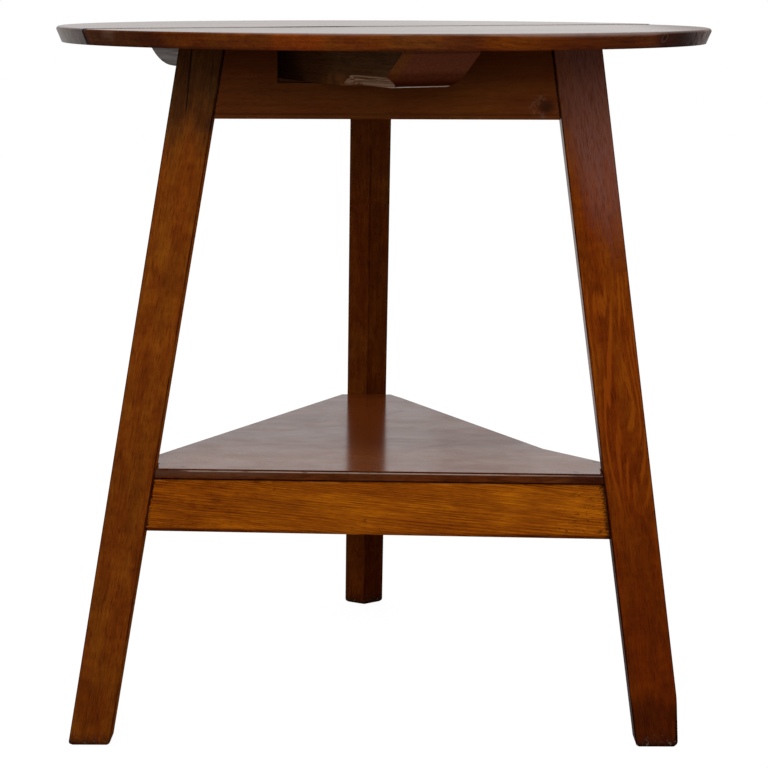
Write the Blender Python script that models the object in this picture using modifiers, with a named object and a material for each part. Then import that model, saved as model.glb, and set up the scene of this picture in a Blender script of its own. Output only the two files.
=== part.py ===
"""A cricket table: a round top of two boards on three splayed legs, with a shelf below.

Metres, +Z up. The front of the table looks along -Y. Every timber is a blank that is
trimmed by planes, the way a joiner saws it, and the rails are tenoned into the legs.
"""
import math

import bmesh
import bpy
from mathutils import Matrix, Vector

# The top
TABLE_HEIGHT = 0.700
TOP_DIAMETER = 0.6535
TOP_THICKNESS = 0.0154
TOP_UNDERCUT = 0.005
TOP_ARRIS = 0.003
TOP_ARRIS_STEPS = 4
TOP_SIDES = 128
BACK_BOARD_PROUD = 0.0006
BOARD_JOINT_ANGLE = math.radians(29.6)
BOARD_JOINT_FORWARD = 0.0109

# The legs: circles through their outer corners, and how far the old frame is out of true
LEG_CIRCLE_TOP = 0.2334
LEG_CIRCLE_FOOT = 0.3517
LEFT_LEG_WIDTH_TOP = 0.0437
LEFT_LEG_WIDTH_FOOT = 0.0416
RIGHT_LEG_WIDTH_TOP = 0.0478
RIGHT_LEG_WIDTH_FOOT = 0.0462
REAR_LEG_WIDTH_TOP = 0.0468
REAR_LEG_WIDTH_FOOT = 0.0460
BASE_SHIFT = 0.0066
BASE_LEAN = 0.0130
REAR_LEG_SHIFT_TOP = 0.0218
REAR_LEG_SHIFT_FOOT = 0.0182
FOOT_ROUNDING = 0.0045
FOOT_ROUNDING_STEPS = 3
FOOT_WEAR_WIDTH = 0.0064
FOOT_WEAR_HEIGHT = 0.052

# The aprons under the top
APRON_DEPTH = 0.0708
APRON_THICKNESS = 0.022
BEAD_WIDTH = 0.0016
BEAD_DEPTH = 0.0010
BEAD_RISE = 0.0040

# The shelf, whose top lies at its own height at each leg, and the stretchers that carry it
SHELF_HEIGHT_FRONT_LEFT = 0.2765
SHELF_HEIGHT_FRONT_RIGHT = 0.2712
SHELF_HEIGHT_REAR = 0.2710
SHELF_THICKNESS = 0.0105
SHELF_INSET = 0.002
SHELF_HOLLOW = 0.020
SHELF_HOLLOW_PLACE = 0.150
STRETCHER_DEPTH_FRONT_LEFT = 0.0500
STRETCHER_DEPTH_FRONT_RIGHT = 0.0532
STRETCHER_DEPTH_REAR = 0.0504
STRETCHER_THICKNESS = 0.020

# Rails and joints
RAIL_SETBACK = 0.0006
TENON_LENGTH = 0.026
TENON_THICKNESS = 0.008
TENON_SETBACK = 0.0055
TENON_SHOULDER = 0.008
APRON_HAUNCH = 0.015
TENON_ROOT = 0.005
MORTISE_OVERRUN = 0.003

# The batten under the top, beside the right apron and nearly square to the board joint
BATTEN_ANGLE = math.radians(32.0)
BATTEN_WIDTH = 0.081
BATTEN_DEPTH_FRONT = 0.0370
BATTEN_DEPTH_BACK = 0.0295
BATTEN_OFFSET = 0.0853
BATTEN_FRONT = 0.2369
BATTEN_BACK = 0.2875
BATTEN_SWEEP_RADIUS_FRONT = 0.060
BATTEN_SWEEP_RADIUS_BACK = 0.084
BATTEN_SWEEP_SLOPE_FRONT = math.radians(39.3)
BATTEN_SWEEP_SLOPE_BACK = math.radians(60.0)
BATTEN_SWEEP_STEPS = 8
BATTEN_BLUNT_FRONT = 0.0045
BATTEN_BLUNT_BACK = 0.003
BATTEN_FRONT_SKEW = 0.0050
BATTEN_BEVEL_WIDTH = 0.0255
BATTEN_BEVEL_DEPTH = 0.0254
BATTEN_BEVEL_LENGTH = 0.031
BATTEN_BEVEL_STOP = 0.017
BATTEN_SOFTNESS = 0.0008
NOTCH_SLACK = 0.0140

# Fasteners
BATTEN_SCREW_PLACES = (-0.190, -0.030, 0.040, 0.140)
SCREW_BITE = 0.008
SCREW_RADIUS = 0.0021
SCREW_HEAD_RADIUS = 0.0043
SCREW_SLOT_WIDTH = 0.0011
SCREW_SLOT_DEPTH = 0.0011
SCREW_SUNK = 0.0008
SCREW_SIDES = 12
POCKET_RADIUS = 0.0055
POCKET_DEPTH = 0.028
POCKET_ANGLE = math.radians(15.0)
POCKET_INSET = 0.028
POCKET_SIDES = 16
NAIL_LENGTH = 0.034
NAIL_WIDTH = 0.0024
NAIL_POINT_WIDTH = 0.0014
NAIL_HEAD_WIDTH = 0.0046
NAIL_HEAD_THICKNESS = 0.0012
NAIL_INSET = 0.025
NAIL_SIDES = 4

# Clearances
GAP = 0.0003
CUT_MARGIN = 0.004
EDGE_SOFTNESS = 0.0012
EDGE_STEPS = 2
SHARP_ANGLE = math.radians(35.0)
BLANK_SIZE = 2.0

UP = Vector((0.0, 0.0, 1.0))
UNDERSIDE = TABLE_HEIGHT - TOP_THICKNESS
SIDES = {
    "front": ("front_left", "front_right"),
    "right": ("front_right", "rear"),
    "left": ("rear", "front_left"),
}
SHELF_HEIGHTS = {
    "front_left": SHELF_HEIGHT_FRONT_LEFT,
    "front_right": SHELF_HEIGHT_FRONT_RIGHT,
    "rear": SHELF_HEIGHT_REAR,
}
STRETCHER_DEPTHS = {
    "front_left": STRETCHER_DEPTH_FRONT_LEFT,
    "front_right": STRETCHER_DEPTH_FRONT_RIGHT,
    "rear": STRETCHER_DEPTH_REAR,
}


class Plane:
    """A plane whose normal points away from the wood that it bounds."""

    def __init__(self, point, normal):
        self.point = Vector(point)
        self.normal = Vector(normal).normalized()

    def moved(self, distance):
        return Plane(self.point + self.normal * distance, self.normal)

    def flipped(self):
        return Plane(self.point, -self.normal)

    def height_at(self, x, y):
        """World height of a plane that is nearly level."""
        across = self.normal.x * (x - self.point.x) + self.normal.y * (y - self.point.y)
        return self.point.z - across / self.normal.z


class Leg:
    """The outer corner line of one splayed leg, from under the top down to the floor."""

    def __init__(self, angle, top_shift, foot_shift, top_width, foot_width):
        ray = Vector((math.cos(angle), math.sin(angle), 0.0))
        self.top = ray * LEG_CIRCLE_TOP + Vector((top_shift, 0.0, UNDERSIDE))
        self.foot = ray * LEG_CIRCLE_FOOT + Vector((foot_shift, 0.0, 0.0))
        self.run = self.foot - self.top
        self.top_width = top_width
        self.foot_width = foot_width

    def at_height(self, height):
        return self.top + self.run * ((UNDERSIDE - height) / UNDERSIDE)


foot_shift = BASE_SHIFT - BASE_LEAN
legs = {
    "front_left": Leg(
        math.radians(210.0), BASE_SHIFT, foot_shift, LEFT_LEG_WIDTH_TOP, LEFT_LEG_WIDTH_FOOT),
    "front_right": Leg(
        math.radians(330.0), BASE_SHIFT, foot_shift, RIGHT_LEG_WIDTH_TOP, RIGHT_LEG_WIDTH_FOOT),
    "rear": Leg(
        math.radians(90.0), BASE_SHIFT - REAR_LEG_SHIFT_TOP, foot_shift - REAR_LEG_SHIFT_FOOT,
        REAR_LEG_WIDTH_TOP, REAR_LEG_WIDTH_FOOT),
}
base_middle = sum((leg.top for leg in legs.values()), Vector()) / len(legs)


def side_direction(side, leg_name):
    """Level direction from one leg along a side, towards the leg at its other end."""
    first, second = SIDES[side]
    other = second if leg_name == first else first
    return (legs[other].top - legs[leg_name].top).normalized()


def outer_plane(side, leg_name):
    """The plane of a leg's outer face on one side of the table."""
    leg = legs[leg_name]
    normal = leg.run.cross(side_direction(side, leg_name))
    if normal.dot(leg.top - base_middle) < 0.0:
        normal.negate()
    return Plane(leg.top, normal)


def inner_plane(side, leg_name):
    """The plane of a leg's inner face that the rails of one side butt against."""
    leg = legs[leg_name]
    along = side_direction(side, leg_name)
    top_edge = leg.top + along * leg.top_width
    foot_edge = leg.foot + along * leg.foot_width
    normal = (foot_edge - top_edge).cross(outer_plane(side, leg_name).normal)
    if normal.dot(along) < 0.0:
        normal.negate()
    return Plane(top_edge, normal)


def mitre_plane(side, leg_name):
    """The plane that halves a leg's outer corner; its normal leaves the given side."""
    normals = {name: outer_plane(name, leg_name).normal for name in sides_of(leg_name)}
    own = normals.pop(side)
    return Plane(legs[leg_name].top, normals.popitem()[1] - own)


def sides_of(leg_name):
    return [side for side, ends in SIDES.items() if leg_name in ends]


def face_plane(side, height):
    """The plane of a rail's outer face, through both legs' corner lines at a height."""
    first, second = (legs[name] for name in SIDES[side])
    along = second.at_height(height) - first.at_height(height)
    normal = along.cross(-(first.run + second.run))
    if normal.dot(first.top - base_middle) < 0.0:
        normal.negate()
    return Plane(first.at_height(height), normal).moved(-RAIL_SETBACK)


def plane_at_legs(heights):
    """The plane that crosses each leg's corner line at its own height, facing up."""
    corners = [leg.at_height(heights[name]) for name, leg in legs.items()]
    return Plane(corners[0], (corners[1] - corners[0]).cross(corners[2] - corners[0]))


def stretcher_bottom_plane():
    """The plane of the stretchers' lower edges, at its own depth under the shelf at each leg."""
    heights = {
        name: height - SHELF_THICKNESS - GAP - STRETCHER_DEPTHS[name]
        for name, height in SHELF_HEIGHTS.items()
    }
    return plane_at_legs(heights).flipped()


def run_and_across(angle):
    """Two level directions square to each other: one to the front, one turned from +X."""
    across = Vector((math.cos(angle), math.sin(angle), 0.0))
    return Vector((across.y, -across.x, 0.0)), across


floor = Plane((0.0, 0.0, 0.0), -UP)
ceiling = Plane((0.0, 0.0, UNDERSIDE - GAP), UP)
shelf_top = plane_at_legs(SHELF_HEIGHTS)
batten_run, batten_across = run_and_across(BATTEN_ANGLE)
batten_middle = batten_across * -BATTEN_OFFSET


def clear_scene():
    for item in list(bpy.data.objects):
        bpy.data.objects.remove(item)


def make_collection(name):
    collection = bpy.data.collections.new(name)
    bpy.context.scene.collection.children.link(collection)
    return collection


def make_material(name, colour, roughness, metallic=0.0):
    material = bpy.data.materials.new(name)
    material.use_nodes = True
    shader = material.node_tree.nodes["Principled BSDF"]
    shader.inputs["Base Color"].default_value = (*colour, 1.0)
    shader.inputs["Roughness"].default_value = roughness
    shader.inputs["Metallic"].default_value = metallic
    material.diffuse_color = (*colour, 1.0)
    return material


def evaluated_mesh(item):
    """The mesh of an object with its modifiers, or of a curve with its fill."""
    depsgraph = bpy.context.evaluated_depsgraph_get()
    return bpy.data.meshes.new_from_object(item.evaluated_get(depsgraph))


def bake(item):
    """Take an object's evaluated shape as a bmesh and remove the object."""
    mesh = evaluated_mesh(item)
    shape = bmesh.new()
    shape.from_mesh(mesh)
    shape.transform(item.matrix_world)
    bpy.data.meshes.remove(mesh)
    bpy.data.objects.remove(item)
    return shape


def trim(shape, planes):
    """Saw a closed shape off at each plane and close the cut."""
    for plane in planes:
        everything = shape.verts[:] + shape.edges[:] + shape.faces[:]
        cut = bmesh.ops.bisect_plane(
            shape, geom=everything, dist=1e-7,
            plane_co=plane.point, plane_no=plane.normal, clear_outer=True)
        rim = [part for part in cut["geom_cut"] if isinstance(part, bmesh.types.BMEdge)]
        bmesh.ops.holes_fill(shape, edges=rim, sides=0)
    bmesh.ops.recalc_face_normals(shape, faces=shape.faces[:])
    return shape


def block(planes):
    """A solid bounded by planes, sawn from one large blank."""
    shape = bmesh.new()
    bmesh.ops.create_cube(shape, size=BLANK_SIZE)
    return trim(shape, planes)


def make_object(name, shape, collection):
    """An object with its origin at the middle of its shape's box."""
    corners = [vertex.co for vertex in shape.verts]
    low = Vector(min(corner[axis] for corner in corners) for axis in range(3))
    high = Vector(max(corner[axis] for corner in corners) for axis in range(3))
    middle = (low + high) / 2.0
    shape.transform(Matrix.Translation(-middle))
    mesh = bpy.data.meshes.new(name)
    shape.to_mesh(mesh)
    shape.free()
    item = bpy.data.objects.new(name, mesh)
    item.location = middle
    collection.objects.link(item)
    return item


def make_piece(name, shape, material):
    piece = make_object(name, shape, parts)
    piece.data.materials.append(material)
    piece.parent = table
    return piece


def make_cutter(name, shape):
    cutter = make_object(name, shape, cutters)
    cutter.display_type = "WIRE"
    cutter.hide_render = True
    cutter.parent = table
    return cutter


def soften(piece, width=EDGE_SOFTNESS, steps=EDGE_STEPS):
    """Worn arrises."""
    bevel = piece.modifiers.new("soft_edges", "BEVEL")
    bevel.width = width
    bevel.segments = steps
    bevel.limit_method = "ANGLE"
    bevel.angle_limit = SHARP_ANGLE


def shade_round(mesh):
    """Smooth shading between the facets of a turned shape."""
    mesh.shade_smooth()
    mesh.set_sharp_from_angle(angle=SHARP_ANGLE)


def combine(piece, other, operation):
    boolean = piece.modifiers.new(other.name, "BOOLEAN")
    boolean.operation = operation
    boolean.object = other


def cut(piece, name, shape):
    combine(piece, make_cutter(name, shape), "DIFFERENCE")


def join_shapes(shapes):
    """One bmesh that holds separate closed shapes."""
    joined = bmesh.new()
    for shape in shapes:
        mesh = bpy.data.meshes.new("joining")
        shape.to_mesh(mesh)
        shape.free()
        joined.from_mesh(mesh)
        bpy.data.meshes.remove(mesh)
    return joined


def turned(profile, sides):
    """A shape turned about Z from (radius, height) points, listed from top to bottom."""
    mesh = bpy.data.meshes.new("profile")
    points = [(radius, 0.0, height) for radius, height in profile]
    mesh.from_pydata(points, [(i, i + 1) for i in range(len(points) - 1)], [])
    item = bpy.data.objects.new("profile", mesh)
    bpy.context.scene.collection.objects.link(item)
    screw = item.modifiers.new("turn", "SCREW")
    screw.steps = sides
    screw.render_steps = sides
    screw.use_merge_vertices = True
    screw.merge_threshold = 0.00001
    return bake(item)


def plate(outline, thickness, placed):
    """A flat outline, given as (x, y) points, extruded evenly about its own plane."""
    curve = bpy.data.curves.new("outline", "CURVE")
    curve.dimensions = "2D"
    curve.fill_mode = "BOTH"
    curve.extrude = thickness / 2.0
    spline = curve.splines.new("POLY")
    spline.points.add(len(outline) - 1)
    for point, (x, y) in zip(spline.points, outline):
        point.co = (x, y, 0.0, 1.0)
    spline.use_cyclic_u = True
    item = bpy.data.objects.new("outline", curve)
    item.matrix_world = placed
    bpy.context.scene.collection.objects.link(item)
    bpy.context.view_layer.update()
    shape = bake(item)
    bmesh.ops.remove_doubles(shape, verts=shape.verts[:], dist=0.00001)
    bmesh.ops.recalc_face_normals(shape, faces=shape.faces[:])
    return shape


def frame_at(point, x_axis, y_axis):
    """A placement with the given X axis and its Y axis near the given one."""
    x_axis = x_axis.normalized()
    z_axis = x_axis.cross(y_axis).normalized()
    rotation = Matrix((x_axis, z_axis.cross(x_axis), z_axis)).transposed()
    return Matrix.Translation(point) @ rotation.to_4x4()


def joint_plane():
    """The plane between the top's boards; its normal points to the front board."""
    forwards = run_and_across(BOARD_JOINT_ANGLE)[0]
    return Plane((0.0, -BOARD_JOINT_FORWARD, 0.0), forwards)


def make_top_board(name, kept_side, proud, material):
    """One board of the round top: an undercut rim with a worn upper arris."""
    radius = TOP_DIAMETER / 2.0
    surface = TABLE_HEIGHT + proud - BACK_BOARD_PROUD
    turns = [math.pi / 2.0 * step / TOP_ARRIS_STEPS for step in range(TOP_ARRIS_STEPS + 1)]
    rim = [
        (radius - TOP_ARRIS * (1.0 - math.sin(turn)), surface - TOP_ARRIS * (1.0 - math.cos(turn)))
        for turn in turns
    ]
    profile = [(0.0, surface)] + rim + [(radius - TOP_UNDERCUT, UNDERSIDE), (0.0, UNDERSIDE)]
    shape = turned(profile, TOP_SIDES)
    trim(shape, [kept_side.moved(-GAP / 2.0)])
    board = make_piece(name, shape, material)
    shade_round(board.data)
    return board


def make_leg(name, material):
    """One leg: two outer faces flush with the rails and two inner ones square to them."""
    planes = [ceiling, floor]
    for side in sides_of(name):
        planes += [outer_plane(side, name), inner_plane(side, name)]
    if name == "front_right":
        planes.append(worn_foot_plane(name))
    shape = block(planes)
    foot_rim = [edge for edge in shape.edges if all(end.co.z < 1e-5 for end in edge.verts)]
    bmesh.ops.bevel(
        shape, geom=foot_rim, offset=FOOT_ROUNDING, offset_type="OFFSET",
        segments=FOOT_ROUNDING_STEPS, profile=0.5, affect="EDGES", clamp_overlap=True)
    leg = make_piece("leg_" + name, shape, material)
    soften(leg)
    return leg


def worn_foot_plane(name):
    """The plane of the wear on one foot's outer corner."""
    leg = legs[name]
    inwards = (base_middle - leg.foot) * Vector((1.0, 1.0, 0.0))
    inwards.normalize()
    low = leg.foot + inwards * FOOT_WEAR_WIDTH
    high = leg.at_height(FOOT_WEAR_HEIGHT)
    return Plane(low, inwards.cross(UP).cross(high - low))


def shoulder_planes(side):
    """The planes of both legs that a rail's shoulders meet."""
    return [inner_plane(side, name).moved(GAP).flipped() for name in SIDES[side]]


def tenon_planes(side, leg_name, face, top, bottom, extra, overrun):
    """A tenon's planes, or with extra room those of its mortise."""
    inner = inner_plane(side, leg_name)
    mouth = TENON_ROOT if extra == 0.0 else CUT_MARGIN
    return [
        face.moved(extra - TENON_SETBACK),
        face.moved(-TENON_SETBACK - TENON_THICKNESS - extra).flipped(),
        top.moved(extra),
        bottom.moved(extra),
        inner.moved(mouth),
        inner.moved(-TENON_LENGTH - extra).flipped(),
        mitre_plane(side, leg_name).moved(overrun),
    ]


def make_rail(name, side, thickness, top, bottom, haunch, material):
    """A rail between two legs, with a mitred tenon on each end."""
    height = (top.height_at(0.0, 0.0) + bottom.height_at(0.0, 0.0)) / 2.0
    face = face_plane(side, height)
    body = [face, face.moved(-thickness).flipped(), top, bottom] + shoulder_planes(side)
    rail = make_piece(name, block(body), material)
    soften(rail)
    tenon_top = top.moved(-haunch)
    tenon_bottom = bottom.moved(-TENON_SHOULDER)
    for leg_name in SIDES[side]:
        tenon = block(tenon_planes(side, leg_name, face, tenon_top, tenon_bottom, 0.0, -GAP))
        combine(rail, make_cutter(f"tenon_{name}_{leg_name}", tenon), "UNION")
        mortise = block(tenon_planes(
            side, leg_name, face, tenon_top, tenon_bottom, GAP, MORTISE_OVERRUN))
        cut(pieces["leg_" + leg_name], f"mortise_{name}_{leg_name}", mortise)
    return rail


def make_apron(side, material):
    """An apron rail with a scratched bead along its lower edge."""
    bottom = Plane((0.0, 0.0, UNDERSIDE - APRON_DEPTH), -UP)
    apron = make_rail(
        "apron_" + side, side, APRON_THICKNESS, ceiling, bottom, APRON_HAUNCH, material)
    face = face_plane(side, UNDERSIDE - APRON_DEPTH / 2.0)
    bead = block([
        face.moved(CUT_MARGIN),
        face.moved(-BEAD_DEPTH).flipped(),
        bottom.moved(-BEAD_RISE),
        bottom.moved(-BEAD_RISE - BEAD_WIDTH).flipped(),
    ])
    cut(apron, "bead_" + side, bead)
    return apron


def make_stretcher(side, material):
    """A lower rail, planed to the shelf that lies on it."""
    top = shelf_top.moved(-SHELF_THICKNESS - GAP)
    return make_rail(
        "stretcher_" + side, side, STRETCHER_THICKNESS, top, stretcher_bottom_plane(),
        TENON_SHOULDER, material)


def shelf_hollow():
    """What is sawn off the shelf's right edge, which is cut hollow there."""
    height = shelf_top.point.z
    edge = face_plane("right", height).moved(-SHELF_INSET)
    first, last = legs["front_right"], legs["rear"]
    start, end = first.at_height(height), last.at_height(height)
    along = (end - start).normalized()
    bend = start + along * SHELF_HOLLOW_PLACE - edge.normal * SHELF_HOLLOW
    near = start + along * first.top_width
    far = end - along * last.top_width
    return block(shelf_cut_limits(height) + [
        Plane(bend, (near - bend).cross(UP)),
        Plane(bend, UP.cross(far - bend)),
    ])


def shelf_cut_limits(height):
    """Level planes well above and below the shelf, for what is cut right through it."""
    reach = CUT_MARGIN + SHELF_THICKNESS
    return [
        Plane((0.0, 0.0, height + reach), UP),
        Plane((0.0, 0.0, height - SHELF_THICKNESS - reach), -UP),
    ]


def make_shelf(material):
    """A triangular board that lies on the stretchers and is cut round the legs."""
    height = shelf_top.point.z
    planes = [shelf_top, shelf_top.moved(-SHELF_THICKNESS).flipped()]
    planes += [face_plane(side, height).moved(-SHELF_INSET) for side in SIDES]
    rear = inner_plane("right", "rear").normal + inner_plane("left", "rear").normal
    corner = inner_corner("rear", height)
    planes.append(Plane(corner, -rear * Vector((1.0, 1.0, 0.0))).moved(-GAP * 2.0))
    shelf = make_piece("shelf", block(planes), material)
    for name in ("front_left", "front_right"):
        faces = [inner_plane(side, name).moved(GAP) for side in sides_of(name)]
        cut(shelf, "corner_" + name, block(shelf_cut_limits(height) + faces))
    cut(shelf, "hollow_edge", shelf_hollow())
    soften(shelf)
    return shelf


def inner_corner(name, height):
    """Where a leg's two inner faces meet, at a height."""
    first, second = (inner_plane(side, name) for side in sides_of(name))
    rows = Matrix((first.normal, second.normal, UP))
    offsets = Vector((first.normal.dot(first.point), second.normal.dot(second.point), height))
    return rows.inverted() @ offsets


def sweep_curve(depth, radius, steepest, blunt):
    """Points from the batten's lower face up to its blunt end, as (distance, depth).

    The sweep is an arc as far as its steepest slope, and straight from there.
    """
    last = min(steepest, math.acos(1.0 - (depth - blunt) / radius))
    turns = [last * step / BATTEN_SWEEP_STEPS for step in range(BATTEN_SWEEP_STEPS + 1)]
    curve = [
        (radius * math.sin(turn), depth - radius * (1.0 - math.cos(turn)))
        for turn in turns
    ]
    distance, left = curve[-1]
    if left - blunt > GAP:
        curve.append((distance + (left - blunt) / math.tan(last), blunt))
    return curve


def front_sweep():
    return sweep_curve(
        BATTEN_DEPTH_FRONT, BATTEN_SWEEP_RADIUS_FRONT, BATTEN_SWEEP_SLOPE_FRONT,
        BATTEN_BLUNT_FRONT)


def back_sweep():
    return sweep_curve(
        BATTEN_DEPTH_BACK, BATTEN_SWEEP_RADIUS_BACK, BATTEN_SWEEP_SLOPE_BACK, BATTEN_BLUNT_BACK)


def sweep_starts():
    """Where the batten's ends start to sweep up, measured along it from its middle."""
    return BATTEN_FRONT - front_sweep()[-1][0], -BATTEN_BACK + back_sweep()[-1][0]


def batten_depth(place):
    """How deep the batten is below the top, at a place between its swept ends."""
    front, back = sweep_starts()
    share = (place - back) / (front - back)
    return BATTEN_DEPTH_BACK + share * (BATTEN_DEPTH_FRONT - BATTEN_DEPTH_BACK)


def in_batten(place, depth, inwards=0.0):
    """A point at a depth below the batten's flat top, in from its left side."""
    side = batten_across * (inwards - BATTEN_WIDTH / 2.0)
    return batten_middle + batten_run * place + side + UP * (UNDERSIDE - GAP - depth)


def under_batten(place, inwards=0.0):
    """A point on the batten's lower face, in from its left side."""
    return in_batten(place, batten_depth(place), inwards)


def batten_outline():
    """Side outline of the batten: flat above, with both ends swept up from below."""
    front, back = sweep_starts()
    outline = [(front + run, -depth) for run, depth in front_sweep()]
    outline += [(BATTEN_FRONT, 0.0), (-BATTEN_BACK, 0.0)]
    outline += [(back - run, -depth) for run, depth in reversed(back_sweep())]
    return outline


def skew_front(shape):
    """Draw the batten's front end back on its left side, where it was sawn askew."""
    for vertex in shape.verts:
        place = vertex.co - batten_middle
        if place.dot(batten_run) > 0.0:
            share = 0.5 - place.dot(batten_across) / BATTEN_WIDTH
            vertex.co -= batten_run * (BATTEN_FRONT_SKEW * share)


def batten_bevel():
    """What is planed off the batten's lower left arris near its front end, up to a sloping stop."""
    start = sweep_starts()[0]
    end = start - BATTEN_BEVEL_LENGTH
    above, above_end = in_batten(start, BATTEN_BEVEL_DEPTH), in_batten(end, BATTEN_BEVEL_DEPTH)
    inside = under_batten(start, BATTEN_BEVEL_WIDTH)
    normal = (above - inside).cross(above_end - inside)
    if normal.z > 0.0:
        normal.negate()
    stop = (above_end - under_batten(end - BATTEN_BEVEL_STOP)).cross(batten_across)
    if stop.dot(batten_run) > 0.0:
        stop.negate()
    return block([Plane(inside, normal).flipped(), Plane(above_end, stop)])


def make_batten(material):
    """The batten that holds the boards of the top together."""
    placed = frame_at(batten_middle + UP * (UNDERSIDE - GAP), batten_run, UP)
    shape = plate(batten_outline(), BATTEN_WIDTH, placed)
    skew_front(shape)
    batten = make_piece("batten", shape, material)
    cut(batten, "bevel", batten_bevel())
    soften(batten, BATTEN_SOFTNESS, 1)
    return batten


def notch_shape(side):
    """A square notch in an apron's upper edge, wide enough for the batten to cross askew."""
    face = face_plane(side, UNDERSIDE - APRON_DEPTH / 2.0)
    along = face.normal.cross(UP).normalized()
    places = []
    levels = []
    for inwards in (0.0, BATTEN_WIDTH):
        line = under_batten(0.0, inwards)
        for depth in (0.0, -APRON_THICKNESS):
            plane = face.moved(depth)
            reach = (plane.point - line).dot(plane.normal) / batten_run.dot(plane.normal)
            places.append((line + batten_run * reach).dot(along))
            levels.append(under_batten(reach).z)
    return block([
        Plane(along * (max(places) + NOTCH_SLACK), along),
        Plane(along * (min(places) - NOTCH_SLACK), -along),
        Plane((0.0, 0.0, min(levels) - GAP), -UP),
        ceiling.moved(CUT_MARGIN),
        face.moved(CUT_MARGIN),
        face.moved(-APRON_THICKNESS - CUT_MARGIN).flipped(),
    ])


def screw_profile(length, extra):
    """A countersunk wood screw, or with extra room its hole."""
    radius = SCREW_RADIUS + extra
    head = SCREW_HEAD_RADIUS + extra
    lip = -SCREW_SUNK
    top = 0.0 if extra == 0.0 else CUT_MARGIN
    neck = lip - (head - radius)
    point = -length - extra
    return [(0.0, top), (head, top), (head, lip), (radius, neck),
            (radius, point + radius), (0.0, point)]


def make_screw(length):
    """One slotted wood screw with its head at the origin, pointing down."""
    scene = bpy.context.scene.collection
    item = make_object("screw_blank", turned(screw_profile(length, 0.0), SCREW_SIDES), scene)
    slot = bmesh.new()
    size = (SCREW_HEAD_RADIUS * 3.0, SCREW_SLOT_WIDTH, SCREW_SLOT_DEPTH * 2.0, 1.0)
    bmesh.ops.create_cube(slot, size=1.0, matrix=Matrix.Diagonal(size))
    slot_item = make_object("slot", slot, scene)
    combine(item, slot_item, "DIFFERENCE")
    bpy.context.view_layer.update()
    shape = bake(item)
    bpy.data.objects.remove(slot_item)
    return shape


def place_fasteners(name, shape, placements, material):
    """One numbered object at each placement, all with the same mesh."""
    mesh = bpy.data.meshes.new(name)
    shape.to_mesh(mesh)
    shape.free()
    shade_round(mesh)
    mesh.materials.append(material)
    for number, placed in enumerate(placements, start=1):
        fastener = bpy.data.objects.new(f"{name}_{number}", mesh)
        fastener.matrix_basis = placed
        fastener.parent = table
        parts.objects.link(fastener)
        pieces[fastener.name] = fastener


def copies(shape, placements):
    """Separate copies of one cutting shape, joined in one bmesh."""
    shapes = []
    for placed in placements:
        copy = shape.copy()
        copy.transform(placed)
        shapes.append(copy)
    shape.free()
    return join_shapes(shapes)


def batten_screw_placements():
    """Along the middle of the batten, driven upwards, with heads a little inside its face."""
    heads = [
        under_batten(place, BATTEN_WIDTH / 2.0) + UP * SCREW_SUNK
        for place in BATTEN_SCREW_PLACES
    ]
    return [frame_at(head, batten_across, batten_run) for head in heads]


def make_batten_screws(material):
    """Screws of one length, which suits the middle of the tapered batten."""
    middle_place = sum(BATTEN_SCREW_PLACES) / len(BATTEN_SCREW_PLACES)
    length = batten_depth(middle_place) + GAP + SCREW_BITE
    placements = batten_screw_placements()
    hole = turned(screw_profile(length, GAP), SCREW_SIDES)
    holes = make_cutter("batten_screw_holes", copies(hole, placements))
    for name in ("batten", "top_board_front", "top_board_back"):
        combine(pieces[name], holes, "DIFFERENCE")
    place_fasteners("batten_screw", make_screw(length), placements, material)


def pocket_placements(side):
    """Where each pocket's floor lies on its slanting screw line, near both ends of an apron."""
    face = face_plane(side, UNDERSIDE - APRON_DEPTH / 2.0)
    up_face = (UP - face.normal * UP.dot(face.normal)).normalized()
    slant = up_face * math.cos(POCKET_ANGLE) + face.normal * math.sin(POCKET_ANGLE)
    places = []
    for leg_name in SIDES[side]:
        along = side_direction(side, leg_name)
        leg = legs[leg_name]
        corner = leg.top + along * (leg.top_width + POCKET_INSET)
        depth = (corner - face.point).dot(face.normal) + APRON_THICKNESS / 2.0
        exit_point = corner - face.normal * depth
        places.append(frame_at(exit_point - slant * POCKET_DEPTH, along, slant.cross(along) * -1.0))
    return places


def pocket_shape(placed):
    """The round-bottomed pocket that a screw is driven through from inside an apron."""
    profile = [(0.0, APRON_DEPTH), (POCKET_RADIUS, APRON_DEPTH), (POCKET_RADIUS, 0.0), (0.0, 0.0)]
    shape = turned(profile, POCKET_SIDES)
    shape.transform(placed)
    return shape


def make_apron_screws(material):
    """Screws driven slantwise through the aprons, up into the top."""
    length = POCKET_DEPTH + SCREW_BITE
    placements = [placed for side in SIDES for placed in pocket_placements(side)]
    hole = turned(screw_profile(length, GAP), SCREW_SIDES)
    holes = make_cutter("apron_screw_holes", copies(hole, placements))
    for side in SIDES:
        pockets = join_shapes([pocket_shape(placed) for placed in pocket_placements(side)])
        cut(pieces["apron_" + side], "pockets_" + side, pockets)
        combine(pieces["apron_" + side], holes, "DIFFERENCE")
    for name in ("top_board_front", "top_board_back"):
        combine(pieces[name], holes, "DIFFERENCE")
    place_fasteners("apron_screw", make_screw(length), placements, material)


def nail_profile(extra):
    """A square cut nail, or with extra room its hole, by half diagonals."""
    shank, point, head = (
        width / math.sqrt(2.0) + extra
        for width in (NAIL_WIDTH, NAIL_POINT_WIDTH, NAIL_HEAD_WIDTH)
    )
    top = 0.0 if extra == 0.0 else CUT_MARGIN
    under_head = -NAIL_HEAD_THICKNESS - extra
    return [(0.0, top), (head, top), (head, under_head), (shank, under_head),
            (point, -NAIL_LENGTH - extra), (0.0, -NAIL_LENGTH - extra)]


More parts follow.
